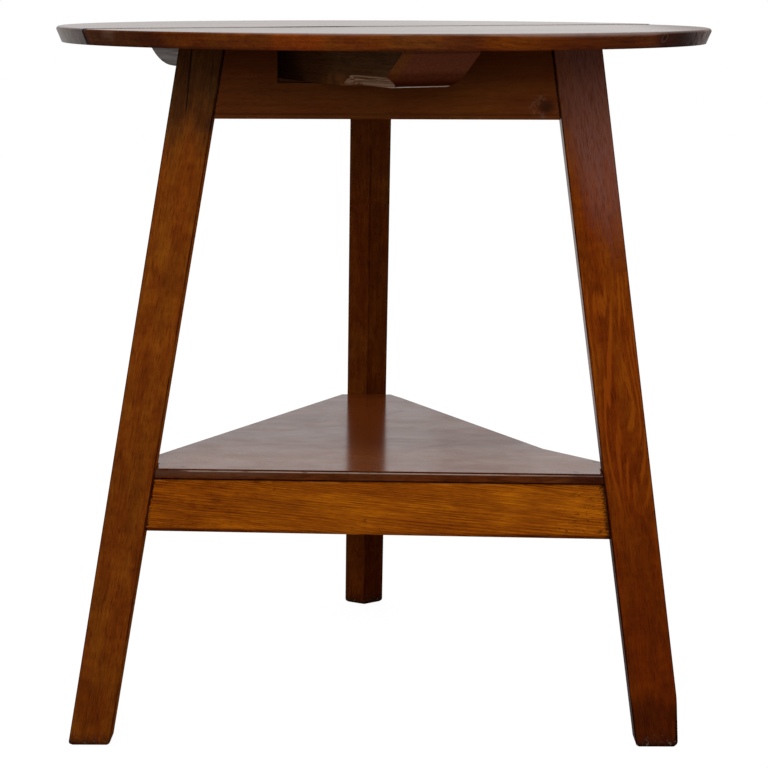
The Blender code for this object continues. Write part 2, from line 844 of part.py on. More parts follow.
def nail_placements():
    """Near both ends of each stretcher, over the middle of its thickness."""
    places = []
    for side in SIDES:
        height = shelf_top.point.z
        face = face_plane(side, height)
        for leg_name in SIDES[side]:
            along = side_direction(side, leg_name)
            leg = legs[leg_name]
            start = leg.at_height(height) + along * (leg.top_width + NAIL_INSET)
            inwards = face.normal * Vector((1.0, 1.0, 0.0))
            spot = start - inwards.normalized() * (STRETCHER_THICKNESS / 2.0 + RAIL_SETBACK)
            spot.z = shelf_top.height_at(spot.x, spot.y)
            places.append(frame_at(spot, along, shelf_top.normal.cross(along)))
    return places


def make_shelf_nails(material):
    placements = nail_placements()
    hole = turned(nail_profile(GAP), NAIL_SIDES)
    holes = make_cutter("nail_holes", copies(hole, placements))
    for name in ("shelf", "stretcher_front", "stretcher_right", "stretcher_left"):
        combine(pieces[name], holes, "DIFFERENCE")
    place_fasteners("shelf_nail", turned(nail_profile(0.0), NAIL_SIDES), placements, material)


def centre_on_footprint():
    """Move the table so that the middle of its box stands over the origin."""
    bpy.context.view_layer.update()
    corners = []
    for piece in pieces.values():
        mesh = evaluated_mesh(piece)
        corners += [piece.matrix_world @ vertex.co for vertex in mesh.vertices]
        bpy.data.meshes.remove(mesh)
    for axis in range(2):
        values = [corner[axis] for corner in corners]
        table.location[axis] -= (min(values) + max(values)) / 2.0


clear_scene()
parts = make_collection("cricket_table")
cutters = make_collection("cutters")
table = bpy.data.objects.new("table", None)
parts.objects.link(table)

top_wood = make_material("top_wood", (0.110, 0.036, 0.012), 0.30)
leg_wood = make_material("leg_wood", (0.105, 0.040, 0.012), 0.34)
apron_wood = make_material("apron_wood", (0.050, 0.020, 0.008), 0.36)
stretcher_wood = make_material("stretcher_wood", (0.260, 0.110, 0.022), 0.36)
shelf_wood = make_material("shelf_wood", (0.080, 0.030, 0.014), 0.22)
batten_wood = make_material("batten_wood", (0.060, 0.034, 0.020), 0.50)
old_steel = make_material("old_steel", (0.090, 0.075, 0.065), 0.45, 0.9)

pieces = {}
pieces["top_board_back"] = make_top_board(
    "top_board_back", joint_plane(), BACK_BOARD_PROUD, top_wood)
pieces["top_board_front"] = make_top_board(
    "top_board_front", joint_plane().flipped(), 0.0, top_wood)
for leg_name in legs:
    pieces["leg_" + leg_name] = make_leg(leg_name, leg_wood)
for side in SIDES:
    pieces["apron_" + side] = make_apron(side, apron_wood)
    pieces["stretcher_" + side] = make_stretcher(side, stretcher_wood)
for side in ("front", "left"):
    cut(pieces["apron_" + side], "notch_" + side, notch_shape(side))
pieces["batten"] = make_batten(batten_wood)
pieces["shelf"] = make_shelf(shelf_wood)
make_batten_screws(old_steel)
make_apron_screws(old_steel)
make_shelf_nails(old_steel)
centre_on_footprint()
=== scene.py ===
import math

import bpy
import numpy as np
from mathutils import Matrix, Vector


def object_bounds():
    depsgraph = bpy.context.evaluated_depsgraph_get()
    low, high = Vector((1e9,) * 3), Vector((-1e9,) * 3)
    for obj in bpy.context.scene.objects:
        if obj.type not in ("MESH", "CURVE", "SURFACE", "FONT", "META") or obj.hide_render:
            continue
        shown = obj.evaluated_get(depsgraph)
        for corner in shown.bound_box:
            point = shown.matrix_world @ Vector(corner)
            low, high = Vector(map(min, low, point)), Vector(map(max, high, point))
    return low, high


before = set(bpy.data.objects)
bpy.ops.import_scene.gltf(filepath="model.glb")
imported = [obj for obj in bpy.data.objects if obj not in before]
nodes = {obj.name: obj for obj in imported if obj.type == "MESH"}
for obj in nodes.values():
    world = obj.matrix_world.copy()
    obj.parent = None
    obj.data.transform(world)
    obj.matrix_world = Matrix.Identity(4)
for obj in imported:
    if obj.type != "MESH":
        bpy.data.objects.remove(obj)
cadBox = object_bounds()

scene = bpy.context.scene
print("frame loaded:", len(nodes), "timbers and fastenings")


# shader sums
class Wire:
    # one output of a finish's nodes, ready for Python's own operators
    def __init__(self, finish, socket):
        self.finish = finish
        self.socket = socket

    def sum(self, operation, *parts):
        return self.finish.node("Math", {"operation": operation}, dict(enumerate(parts)))

    def __add__(self, other):
        return self.sum("ADD", self, other)

    def __radd__(self, other):
        return self.sum("ADD", other, self)

    def __sub__(self, other):
        return self.sum("SUBTRACT", self, other)

    def __rsub__(self, other):
        return self.sum("SUBTRACT", other, self)

    def __mul__(self, other):
        return self.sum("MULTIPLY", self, other)

    def __rmul__(self, other):
        return self.sum("MULTIPLY", other, self)

    def __truediv__(self, other):
        return self.sum("DIVIDE", self, other)

    def __rtruediv__(self, other):
        return self.sum("DIVIDE", other, self)

    def __pow__(self, other):
        return self.sum("POWER", self, other)

    def __rpow__(self, other):
        return self.sum("POWER", other, self)

    def __abs__(self):
        return self.sum("ABSOLUTE", self)

    def least(self, other):
        return self.sum("MINIMUM", self, other)

    def most(self, other):
        return self.sum("MAXIMUM", self, other)

    def part(self):
        return self.sum("FRACT", self)

    def rise(self, low, high, fromValue=0.0, toValue=1.0):
        # goes smoothly from one value to the other while the wire goes from low to high
        if low > high:
            low, high, fromValue, toValue = high, low, toValue, fromValue
        return self.finish.node("MapRange", {"interpolation_type": "SMOOTHSTEP"},
                                {0: self, 1: low, 2: high, 3: fromValue, 4: toValue})


class Finish:
    # a tree of shader nodes: one material, or the world's
    def __init__(self, tree):
        self.tree = tree
        tree.nodes.clear()

    def node(self, kind, settings=None, sockets=None, output=0):
        made = self.tree.nodes.new("ShaderNode" + kind)
        for key, value in (settings or {}).items():
            if key == "stops":
                stops = made.color_ramp.elements
                while len(stops) < len(value):
                    stops.new(1.0)
                for stop, (position, shade) in zip(stops, value):
                    stop.position = position
                    stop.color = (*shade, 1.0)
            else:
                setattr(made, key, value)
        for key, value in (sockets or {}).items():
            if isinstance(value, Wire):
                self.tree.links.new(value.socket, made.inputs[key])
            elif isinstance(value, tuple) and made.inputs[key].type == "RGBA":
                made.inputs[key].default_value = (*value, 1.0)
            else:
                made.inputs[key].default_value = value
        return Wire(self, made.outputs[output]) if made.outputs else None

    def start(self):
        self.place = self.node("TexCoord", None, None, "Object")      # metres, on the table's own axes
        self.x, self.y, self.z = self.split(self.place)
        self.facing = self.node("NewGeometry", None, None, "Normal")
        self.facingUp = self.split(self.facing)[2]

    def blend(self, amount, first, second, mode="MIX"):
        settings = {"data_type": "RGBA", "blend_type": mode}
        return self.node("Mix", settings, {0: amount, 6: first, 7: second}, 2)

    def noise(self, place, sizes, detail=2.0, rough=0.5, warp=0.0):
        # its features are as long as the three sizes in metres
        scales = tuple(1 / size for size in sizes)
        spread = self.node("VectorMath", {"operation": "MULTIPLY"}, {0: place, 1: scales})
        return self.node("TexNoise", None, {"Vector": spread, "Scale": 1.0, "Detail": detail,
                                            "Roughness": rough, "Distortion": warp})

    def along(self, place, direction):
        # how far a place or a vector reaches in a direction
        return self.node("VectorMath", {"operation": "DOT_PRODUCT"}, {0: place, 1: tuple(direction)}, 1)

    def towards(self, direction):
        # 1 where a face looks that way
        return self.along(self.facing, direction)

    def fromPoint(self, point):
        # how far the surface lies from a point
        return self.node("VectorMath", {"operation": "DISTANCE"}, {0: self.place, 1: point}, 1)

    def split(self, place):
        return [self.node("SeparateXYZ", None, {0: place}, i) for i in range(3)]

    def fromPlane(self, plane):
        # how far the surface lies from a plane, given by its normal and how far along that it is
        normal, reach = plane
        return abs(self.along(self.place, normal) - reach)

    def fromLine(self, across, up, start, end):
        # how far the surface lies from a straight line through two points, seen square on
        run, climb = end[0] - start[0], end[1] - start[1]
        length = math.hypot(run, climb)
        return abs((across - start[0]) * (climb / length) - (up - start[1]) * (run / length))

    def surface(self, colour, rough, height, depth, fixed, **varying):
        bump = self.node("Bump", None, {"Height": height, "Distance": depth})
        shader = self.node("BsdfPrincipled", None, {"Base Color": colour, "Roughness": rough, "Normal": bump,
                                                    **fixed, **varying})
        self.node("OutputMaterial", None, {"Surface": shader})


def newFinish(name):
    material = bpy.data.materials.new(name)
    material.use_nodes = True
    finish = Finish(material.node_tree)
    finish.start()
    return material, finish


def dress(name, material):
    mesh = nodes[name].data
    mesh.materials.clear()
    mesh.materials.append(material)


# how each timber lies
class Timber:
    def __init__(self, name, along=None, across=None):
        mesh = nodes[name].data
        mesh.calc_loop_triangles()
        self.points = np.array([v.co for v in mesh.vertices])
        self.normals = np.array([t.normal for t in mesh.loop_triangles])
        self.areas = np.array([t.area for t in mesh.loop_triangles])
        corners, areas = self.points[[t.vertices[:] for t in mesh.loop_triangles]], self.areas
        self.middle = (corners.mean(1) * areas[:, None]).sum(0) / areas.sum()
        # its length is where its whole surface spreads most
        corners = corners - self.middle
        whole = corners.sum(1)
        spread = (np.einsum("t,tij,tik->jk", areas, corners, corners)
                  + np.einsum("t,tj,tk->jk", areas, whole, whole)) / 12
        axes = np.linalg.eigh(spread)[1]
        along = Vector(along if along is not None else axes[:, 2]).normalized()
        if along.dot(Vector((1, 0.2, 0.5))) < 0:
            along = -along
        across = Vector(across if across is not None else axes[:, 1])
        if across.z < -0.001:
            across = -across
        across = (across - along * across.dot(along)).normalized()
        self.turn = Matrix((along, across, along.cross(across))).transposed()

    def find(self, point):
        return (np.array(point) - self.middle) @ np.array(self.turn)

    def mainFaces(self, least=0.03):
        # the directions that its broad faces look in
        found = []
        for normal, area in zip(self.normals, self.areas):
            for other in found:
                if other[0] @ normal > 0.995:
                    other[1] += area
                    break
            else:
                found.append([normal, area])
        return [n for n, area in found if area > least * self.areas.sum()]

    def faceTowards(self, point):
        # the plane of the broad face that looks most towards a point
        away = np.array(point) - self.middle
        normal = max(self.mainFaces(), key=lambda face: face @ away)
        return normal, float((self.points @ normal).max())


# old wood, as every timber here shows it; a share is how much of something shows, a size how
# long, wide and thick its features are
plainWood = {
    "rough": 0.44, "lean": 0.0,
    # growth rings, and between which heights they show
    "wave": 0.7, "wander": 0.03, "ringGap": 0.004, "lineShare": 0.22,
    "lineRise": (0.2, 0.85), "lineFall": (1.0, 0.90), "lineSpan": None,
    "fibreShare": 0.40, "fibreSize": (0.030, 0.0011, 0.0011),
    "streakShare": 0.50, "streakSize": (0.16, 0.006, 0.006),
    "cloudShare": 0.45, "cloudSize": (0.045, 0.016, 0.016),
    "fleckShare": 0.22, "fleckSize": (0.011, 0.0016, 0.0016),
    "figureShare": 0.0, "figureSize": (0.009, 0.022, 0.022),
    "poreShare": 0.35, "poreSize": (0.008, 0.0006, 0.0006), "poreTone": (0.40, 0.34, 0.30),
    "warmShare": 0.6, "warmSize": (0.09, 0.02, 0.02), "warmth": (1.12, 0.92, 0.75),
    # fine hairs that cross the grain at a slight slope
    "hairShare": 0.0, "hairSize": (0.016, 0.0009, 0.0009), "hairLean": 0.15,
    # knots: where along, where across, how big
    "knots": (), "knotTone": (0.016, 0.006, 0.003), "haloTone": (0.150, 0.082, 0.045),
}


class Wood:
    def __init__(self, name, timber, own):
        look = {**plainWood, **own}
        self.material, self.finish = newFinish(name)
        finish = self.finish
        # u runs along the timber, v and w across it
        inside = finish.node("Mapping", {"vector_type": "TEXTURE"},
                             {0: finish.place, 1: tuple(timber.middle), 2: tuple(timber.turn.to_euler())})
        u, v, w = finish.split(inside)
        grainV = v + u * look["lean"]
        grain = finish.node("CombineXYZ", None, {0: u, 1: grainV, 2: w})
        self.v, self.grain = v, grain
        # the log's rings, bent slowly along the grain
        pith = look["pith"]
        bendA = finish.noise(grain, (look["wave"], 0.08, 0.08), 2.0)
        bendB = finish.noise(grain, (look["wave"] * 0.7, 0.11, 0.11), 2.0)
        awayA = grainV - pith[0] + (bendA - 0.5) * look["wander"]
        awayB = w - pith[1] + (bendB - 0.5) * look["wander"]
        radius = (awayA ** 2.0 + awayB ** 2.0) ** 0.5
        knotDark = halo = None
        for knotU, knotV, knotSize in look["knots"]:
            rough = (finish.noise(finish.place, (0.005, 0.005, 0.003), 3.0, 0.6) - 0.5) * knotSize * 0.7
            away = (((u - knotU) * 0.75) ** 2.0 + (v - knotV) ** 2.0) ** 0.5 + rough
            radius = radius + away.rise(knotSize * 4.0, 0.0, 0.0, knotSize * 0.9)
            heart = away.rise(knotSize * 1.5, knotSize * 0.3)
            ring = away.rise(knotSize * 0.8, knotSize * 1.1) * away.rise(knotSize * 2.2, knotSize * 1.4)
            curls = finish.noise(finish.place, (0.0060, 0.0060, 0.0040), 1.0, 0.5, 1.2).rise(0.40, 0.66)
            ring = ring * (u - knotU).rise(0.001, -0.004) * curls
            knotDark = heart if knotDark is None else knotDark.most(heart)
            halo = ring if halo is None else halo.most(ring)
        uneven = finish.noise(grain, (0.25, 0.014, 0.014), 2.0)
        rings = (radius / look["ringGap"] + uneven * 2.4).part()
        fade = finish.noise(grain, (0.10, 0.010, 0.010), 2.0).rise(0.36, 0.62)
        late = rings.rise(*look["lineRise"]) * rings.rise(*look["lineFall"]) * fade
        if look["lineSpan"]:
            low, high = look["lineSpan"]
            late = late * finish.z.rise(low - 0.04, low) * finish.z.rise(high + 0.04, high)
        fibre = finish.noise(grain, look["fibreSize"], 3.0, 0.6)
        streak = finish.noise(grain, look["streakSize"], 3.0, 0.55)
        cloud = finish.noise(grain, look["cloudSize"], 3.0, 0.6, 0.3)
        fleck = finish.noise(grain, look["fleckSize"], 1.0).rise(0.56, 0.70)
        pores = finish.noise(grain, look["poreSize"], 1.0).rise(0.60, 0.72)
        self.fibre, self.streak, self.cloud = fibre, streak, cloud
        tone = (late * look["lineShare"] + (fibre - 0.5) * look["fibreShare"]
                + (streak - 0.5) * look["streakShare"] + (cloud - 0.5) * look["cloudShare"]
                + fleck * look["fleckShare"] + 0.38)
        if look["hairShare"]:
            slope = finish.node("CombineXYZ", None, {0: u, 1: v + u * look["hairLean"], 2: w})
            hair = finish.noise(slope, look["hairSize"], 2.0, 0.6)
            tone = tone + (hair - 0.5) * look["hairShare"]
        if look["figureShare"]:
            figure = finish.noise(grain, look["figureSize"], 2.0, 0.5, 0.5)
            tone = tone + (figure - 0.5) * look["figureShare"]
        light, mid, dark = look["tones"]
        colour = finish.node("ValToRGB", {"stops": ((0.0, light), (0.45, mid), (1.0, dark))}, {0: tone})
        warm = finish.noise(grain, look["warmSize"], 2.0, 0.5).rise(0.35, 0.65)
        colour = finish.blend(warm * look["warmShare"], colour, look["warmth"], "MULTIPLY")
        colour = finish.blend(pores * look["poreShare"], colour, look["poreTone"], "MULTIPLY")
        height = late * 0.25 + fibre * 0.5 - pores * 0.4 + cloud * 0.6
        if knotDark:
            colour = finish.blend(halo * 0.55, colour, look["haloTone"])
            colour = finish.blend(knotDark * 0.75, colour, look["knotTone"])
            height = height - knotDark * 0.3
        self.colour, self.height = colour, height
        self.rough = (fibre - 0.5) * 0.10 + (cloud - 0.5) * 0.16 + pores * 0.08 + look["rough"]

    def tint(self, amount, shade):
        self.colour = self.finish.blend(amount, self.colour, shade, "MULTIPLY")

    def paint(self, amount, shade):
        self.colour = self.finish.blend(amount, self.colour, shade)

    def edges(self, timber):
        # 1 on the softened edges between the broad faces
        flat = None
        for normal in timber.mainFaces():
            one = self.finish.towards(normal)
            flat = one if flat is None else flat.most(one)
        return flat.rise(0.995, 0.93)

    def done(self, name, depth, fixed, **varying):
        self.finish.surface(self.colour, self.rough, self.height, depth, fixed, **varying)
        dress(name, self.material)


# the round top
topLook = {
    "grainAngle": math.radians(29.6), "radius": 0.3267,
    "polish": {"Specular IOR Level": 0.0, "Coat Roughness": 0.20, "Coat IOR": 1.5},
    "tones": ((0.245, 0.064, 0.005), (0.146, 0.034, 0.0026), (0.055, 0.013, 0.0016)),
    # the upper face, and the raw underside
    "flatTint": (0.78, 1.0, 1.9), "rubbed": (0.140, 0.056, 0.016), "scuff": (0.045, 0.014, 0.005),
    "raw": (0.060, 0.034, 0.018),
    # the boards' joint: open and dark between two places across; elsewhere the face of the step between the
    # boards is painted pale, a painted reflection of the polish around it, palest on the right
    "jointForward": 0.0197, "joint": (0.003, 0.002, 0.001), "jointDark": (-0.120, -0.030),
    "jointStepReflection": (0.44, 0.40, 0.37), "jointStepReflectionPale": (0.56, 0.50, 0.46),
    # the rim, with its upper arris rubbed and painted with a pale highlight, and one small knot hole
    "sheen": 0.05, "arris": (0.330, 0.250, 0.215), "lowerArris": (0.45, 0.32, 0.3),
    "endTint": (0.62, 0.72, 0.8), "streakDark": (0.55, 0.46, 0.6), "streakPale": (1.35, 1.40, 1.2),
    "rimKnot": (0.2569, -0.2116, 0.6937), "knotRing": (0.20, 0.10, 0.06), "knotHole": (0.006, 0.003, 0.002),
    # places along it: middle across, half as wide, tint
    "rimTints": (
        (-0.075, 0.022, (1.38, 1.18, 0.8)), (0.045, 0.040, (0.80, 0.88, 1.5)),
        (0.122, 0.036, (1.06, 0.98, 0.5)), (0.232, 0.075, (0.66, 0.54, 0.5)),
        (-0.245, 0.050, (0.66, 0.62, 0.8)), (-0.185, 0.035, (0.90, 0.74, 0.5)),
        (0.300, 0.030, (0.62, 0.78, 0.95)), (0.273, 0.022, (0.45, 0.38, 0.35))),
    # a grey bloom at its left end, partly a painted grey sheen, by board, and a faded place
    "dustAndGreySheen": {"top_board_back": 0.40, "top_board_front": 0.0}, "dustAndGreySheenTint": (0.35, 1.0, 2.2),
    "fadedAt": -0.2510, "faded": (0.30, 0.20, 0.15),
}


def topBoard(name, look, pith):
    grainX, grainY = math.cos(look["grainAngle"]), math.sin(look["grainAngle"])
    grain = Vector((grainX, grainY, 0))
    timber = Timber(name, grain, Vector((0, 0, 1)).cross(grain))
    wood = Wood(name + "_wood", timber, {
        "pith": pith, "wave": 0.6, "wander": 0.06, "ringGap": 0.0050, "tones": look["tones"], "rough": 0.40,
        "lineShare": 0.16, "cloudSize": (0.09, 0.03, 0.012), "warmth": (0.80, 0.62, 0.9), "warmShare": 0.75})
    finish, x, y, z = wood.finish, wood.finish.x, wood.finish.y, wood.finish.z
    up = finish.facingUp
    flat = up.rise(0.80, 0.97)
    below = up.rise(-0.80, -0.97)
    joint = abs(x * -grainY + y * grainX + look["jointForward"])
    darkFrom, darkTo = look["jointDark"]
    openJoint = x.rise(darkFrom - 0.02, darkFrom + 0.03) * x.rise(darkTo + 0.02, darkTo - 0.02)
    openJoint = openJoint.most(1.0 - up.rise(-0.2, 0.1)).most(x.rise(-0.270, -0.280))
    dirt = (joint.rise(0.0015, 0.0008) * openJoint).most(joint.rise(0.0030, 0.0020) * (1.0 - flat))
    # the rim: streaked lengthwise, pale along its upper arris from rubbing and a painted highlight, dark
    # along its lower one
    patches = finish.noise(finish.place, (0.045, 0.045, 0.015), 3.0, 0.6)
    around = x.sum("ARCTAN2", x, -1.0 * y)
    rimPlace = finish.node("CombineXYZ", None, {0: around * look["radius"], 1: z})
    rimStreak = finish.noise(rimPlace, (0.050, 0.0022, 1.0), 3.0, 0.6)
    rim = (1.0 - flat) * (1.0 - below)
    wood.tint(rim * rimStreak.rise(0.42, 0.66) * 0.55, look["streakDark"])
    wood.tint(rim * rimStreak.rise(0.42, 0.26) * 0.60, look["streakPale"])
    for middle, half, shade in look["rimTints"]:
        wood.tint(rim * abs(x - middle).rise(half * 1.3, half * 0.7), shade)
    # rubbed wear and a painted highlight: a pale band along the upper arris, its depth set along the rim
    paleArrisDepth = (x.rise(-0.24, -0.02) * 0.0016 + x.rise(0.05, 0.17) * 0.0022
                 - x.rise(0.240, 0.262) * 0.0018 + 0.0014)
    arris = ((z - cadBox[1][2]) / paleArrisDepth + 1.0).rise(0.0, 1.1)
    arris = arris * patches.rise(0.30, 0.52, 0.5, 0.95) * x.rise(0.255, 0.295, 1.0, 0.75)
    wood.paint(rim * arris, look["arris"])
    fromKnot = finish.fromPoint(look["rimKnot"])
    wood.paint(rim * fromKnot.rise(0.0030, 0.0036) * fromKnot.rise(0.0056, 0.0044) * 0.25, look["knotRing"])
    wood.paint(rim * (fromKnot + (patches - 0.5) * 0.002).rise(0.0032, 0.0014) * 0.9, look["knotHole"])
    wood.tint(z.rise(0.6880, 0.6850) * (1.0 - below) * 0.75, look["lowerArris"])
    endGrain = abs(finish.towards(grain)).rise(0.55, 0.95)
    wood.tint(rim * endGrain, look["endTint"])
    # old knocks and rubbed places on the upper face
    scuff = finish.noise(finish.place, (0.012, 0.0016, 0.01), 2.0, 0.6, 0.6).rise(0.62, 0.72)
    rubbed = finish.noise(finish.place, (0.16, 0.13, 0.1), 3.0, 0.6).rise(0.42, 0.7)
    wood.tint(flat, look["flatTint"])
    wood.paint(flat * rubbed * 0.30, look["rubbed"])
    wood.paint(flat * scuff * 0.35, look["scuff"])
    wood.paint(below * 0.8, look["raw"])
    # painted reflection: along the joint the step's face is painted pale grey like the polish around it,
    # except where the joint is open and dark
    stepReflection = finish.blend(x.rise(0.00, 0.03) * x.rise(0.210, 0.175), look["jointStepReflection"], look["jointStepReflectionPale"])
    wood.paint(dirt * 0.90, finish.blend(openJoint, stepReflection, look["joint"]))
    dents = finish.noise(finish.place, (0.03, 0.03, 0.03), 2.0)
    wood.height = wood.height + dents * 1.4 - dirt * openJoint * 1.5 - scuff * flat * 0.3
    wood.rough = wood.rough + dirt * 0.4 + below * 0.3
    # bloom at both of the rim's ends; at the left end its grey colour is partly a painted sheen
    worn = finish.noise(rimPlace, (0.004, 0.010, 1.0), 3.0, 0.65)
    dustAndGreySheen = x.rise(-0.262, -0.285) * look["dustAndGreySheen"][name]
    wood.tint(rim * dustAndGreySheen, look["dustAndGreySheenTint"])
    faded = abs(x - look["fadedAt"]).rise(0.010, 0.003) * z.rise(0.6870, 0.6920) * patches.rise(0.25, 0.60)
    wood.paint(rim * faded * 0.10, look["faded"])
    dust = dustAndGreySheen * (worn + 0.5) + x.rise(0.272, 0.322) * 0.34 * worn.rise(0.35, 0.6)
    coat = flat * (x.rise(-0.10, 0.15) * 0.08 + 0.86 - rubbed * 0.05
                   - dirt * openJoint * 0.6 - x.rise(0.240, 0.316) * 0.36)
    coat = coat + (1.0 - flat) * (dust * (1.0 - dirt) + look["sheen"])
    wood.done(name, 0.0003, look["polish"], **{"Coat Weight": coat})


topBoard("top_board_back", topLook, (0.05, -0.55))
topBoard("top_board_front", topLook, (-0.10, -0.60))
print("top: two boards")


# legs
legLook = {
    "tones": ((0.235, 0.066, 0.004), (0.148, 0.034, 0.0022), (0.070, 0.0125, 0.0012)),
    "wax": {"Specular IOR Level": 0.0, "Coat Roughness": 0.32}, "worn": (0.240, 0.075, 0.010),
    "edgeTint": (0.30, 0.24, 0.24), "grime": (0.010, 0.005, 0.003), "chip": (0.105, 0.070, 0.048),
    "bloomAndSheenTone": (0.160, 0.062, 0.046), "bloomAndSheenTint": (0.50, 0.45, 0.45),
    "stain": (0.018, 0.009, 0.007), "crackTone": (0.006, 0.004, 0.003), "shadedInside": (0.55, 0.60, 1.2),
    # each leg's tints, and the heights between which they come in; the head tints are partly painted shade
    # and light, which set how dark each leg is under the tabletop
    "leg_front_left": {
        "whole": (0.94, 0.94, 0.98), "head": (0.50, 0.76, 2.4), "headFrom": (0.560, 0.645),
        "low": (0.84, 0.82, 0.8), "lowFrom": (0.42, 0.24),
        "foot": (0.84, 0.80, 0.7), "footFrom": (0.13, 0.01),
        "bloom": 0.0, "chips": 0.62, "sheen": 0.04, "inside": 0.0, "insideTint": (2.1, 2.2, 2.8),
        "stainAt": (-0.1655, -0.130, 0.607),
        # upper end, lower end, half as wide, how dark
        "cracks": (((-0.1822, 0.690), (-0.1905, 0.612), 0.0011, 0.85),
                   ((-0.1640, 0.662), (-0.1678, 0.628), 0.0009, 0.5))},
    "leg_front_right": {
        "whole": (0.90, 0.70, 0.48), "head": (0.95, 1.15, 1.6), "headFrom": (0.54, 0.66),
        "low": (0.64, 0.54, 0.25), "lowFrom": (0.42, 0.08),
        "foot": (0.52, 0.50, 0.9), "footFrom": (0.058, 0.036),
        "bloom": 0.85, "chips": 0.60, "sheen": 0.04, "inside": 0.65, "insideFrom": (0.26, 0.36)},
    "leg_rear": {
        "whole": (0.54, 0.49, 0.9), "head": (1.22, 1.45, 2.0), "headFrom": (0.44, 0.60),
        "low": (0.95, 1.0, 0.9), "lowFrom": (0.42, 0.24),
        "foot": (0.9, 0.85, 0.8), "footFrom": (0.13, 0.01),
        "bloom": 0.0, "chips": 0.62, "sheen": 0.02, "inside": 0.0},
    "rearRightShade": (0.80, 0.74, 0.75), "rearRightShadeLow": (0.70, 0.66, 0.9),
}


def legWood(name, look, outward, pith, **more):
    own = look[name]
    timber = Timber(name, None, outward)
    wood = Wood(name + "_wood", timber, {
        "pith": pith, "wave": 0.5, "wander": 0.03, "ringGap": 0.0034, "tones": look["tones"], "rough": 0.46,
        "lineShare": 0.06, "fibreShare": 0.55, "streakShare": 0.46, "cloudShare": 0.95, "fleckShare": 0.24,
        "cloudSize": (0.030, 0.013, 0.013), "figureShare": 0.42, "hairShare": 0.40, "hairLean": -0.10,
        "warmth": (0.96, 0.72, 0.8), **more})
    finish, x, y, z = wood.finish, wood.finish.x, wood.finish.y, wood.finish.z
    wood.tint(1.0, own["whole"])
    ragged = z + (wood.streak - 0.5) * 0.06 + (wood.cloud - 0.5) * 0.05
    # towards the head: the wood's own tone with painted shade and light under the tabletop
    wood.tint(ragged.rise(*own["headFrom"]), own["head"])
    if own["bloom"]:
        # a purplish wax bloom on the head, partly a painted sheen, streaked along fine hairs
        hair = finish.noise(wood.grain, (0.013, 0.0011, 0.0011), 3.0, 0.65)
        outer = wood.v.rise(-0.014, 0.016)
        bloomed = (ragged + outer * 0.09).rise(0.55, 0.67)
        hairy = hair.rise(0.70, 0.36) * 0.6 + 0.4
        wood.paint(bloomed * hairy * (outer * 0.35 + 0.65) * own["bloom"], look["bloomAndSheenTone"])
        wood.tint(bloomed * hair.rise(0.50, 0.66) * 0.40, look["bloomAndSheenTint"])
    wood.tint(ragged.rise(*own["lowFrom"]), own["low"])
    wood.tint(ragged.rise(*own["footFrom"]), own["foot"])
    if "stainAt" in own:
        fromStain = finish.fromPoint(own["stainAt"]) + (wood.cloud - 0.5) * 0.03
        wood.paint(fromStain.rise(0.016, 0.004) * 0.65, look["stain"])
    if name == "leg_rear":
        # painted shade: its face towards the right is darker lower down, and darker still below the shelf
        right = finish.towards((1, 0, 0)).rise(0.1, 0.3)
        wood.tint(right * z.rise(0.56, 0.42), look["rearRightShade"])
        wood.tint(right * z.rise(0.30, 0.20), look["rearRightShadeLow"])
    edge = wood.edges(timber)
    rub = finish.noise(finish.place, (0.02, 0.02, 0.05), 3.0, 0.6).rise(0.45, 0.65)
    wood.paint(edge * rub * 0.12, look["worn"])
    # painted shade: the softened edges are darkened, less where they are rubbed
    wood.tint(edge * (1.0 - rub * 0.5), look["edgeTint"])
    # grime and pale chips at the floor
    grit = finish.noise(finish.place, (0.0035, 0.0035, 0.0045), 3.0, 0.65)
    sole = z.rise(0.016, 0.002)
    wood.paint(sole * grit.rise(0.3, 0.6) * 0.75, look["grime"])
    nearFloor = (z + (wood.cloud - 0.5) * 0.02).rise(0.015, 0.005)
    wood.paint(nearFloor * grit.rise(own["chips"], own["chips"] + 0.05) * 0.6, look["chip"])
    for upper, lower, half, dark in own.get("cracks", ()):
        wander = (wood.streak - 0.5) * 0.004 + (wood.fibre - 0.5) * 0.0015
        line = finish.fromLine(x + wander, z, upper, lower).rise(half, half * 0.3)
        crack = line * z.rise(lower[1], lower[1] + 0.015) * z.rise(upper[1] + 0.02, upper[1])
        wood.paint(crack * y.rise(-0.10, -0.115) * dark, look["crackTone"])
        wood.height = wood.height - crack * 0.6
    # the faces that look in under the table were never polished
    middle = Vector((timber.middle[0], timber.middle[1], 0)).normalized()
    inside = finish.towards(middle).rise(0.0, -0.3)
    if "insideTint" in own:
        wood.tint(inside, own["insideTint"])
    if "insideFrom" in own:      # the shelf keeps the light off them lower down
        low, high = own["insideFrom"]
        wood.tint(inside * z.rise(high, low), look["shadedInside"])
        inside = inside * z.rise(low, high, 0.12, 1.0)
    wood.rough = wood.rough + sole * 0.2 + edge * 0.2 + inside * 0.2
    sheen = (1.0 - edge) * (inside * (own["inside"] - own["sheen"]) + own["sheen"])
    wood.done(name, 0.0003, look["wax"], **{"Coat Weight": sheen})


legWood("leg_front_left", legLook, (-0.8, -0.6, 0), (0.055, 0.02))
legWood("leg_front_right", legLook, (0.8, -0.6, 0), (0.030, 0.022), ringGap=0.0042, wander=0.07,
        lineShare=-1.0, lineSpan=(0.27, 0.44), lineRise=(0.30, 0.58), lineFall=(0.90, 0.64))
legWood("leg_rear", legLook, (0, 1, 0), (0.05, 0.01))
print("legs: three")


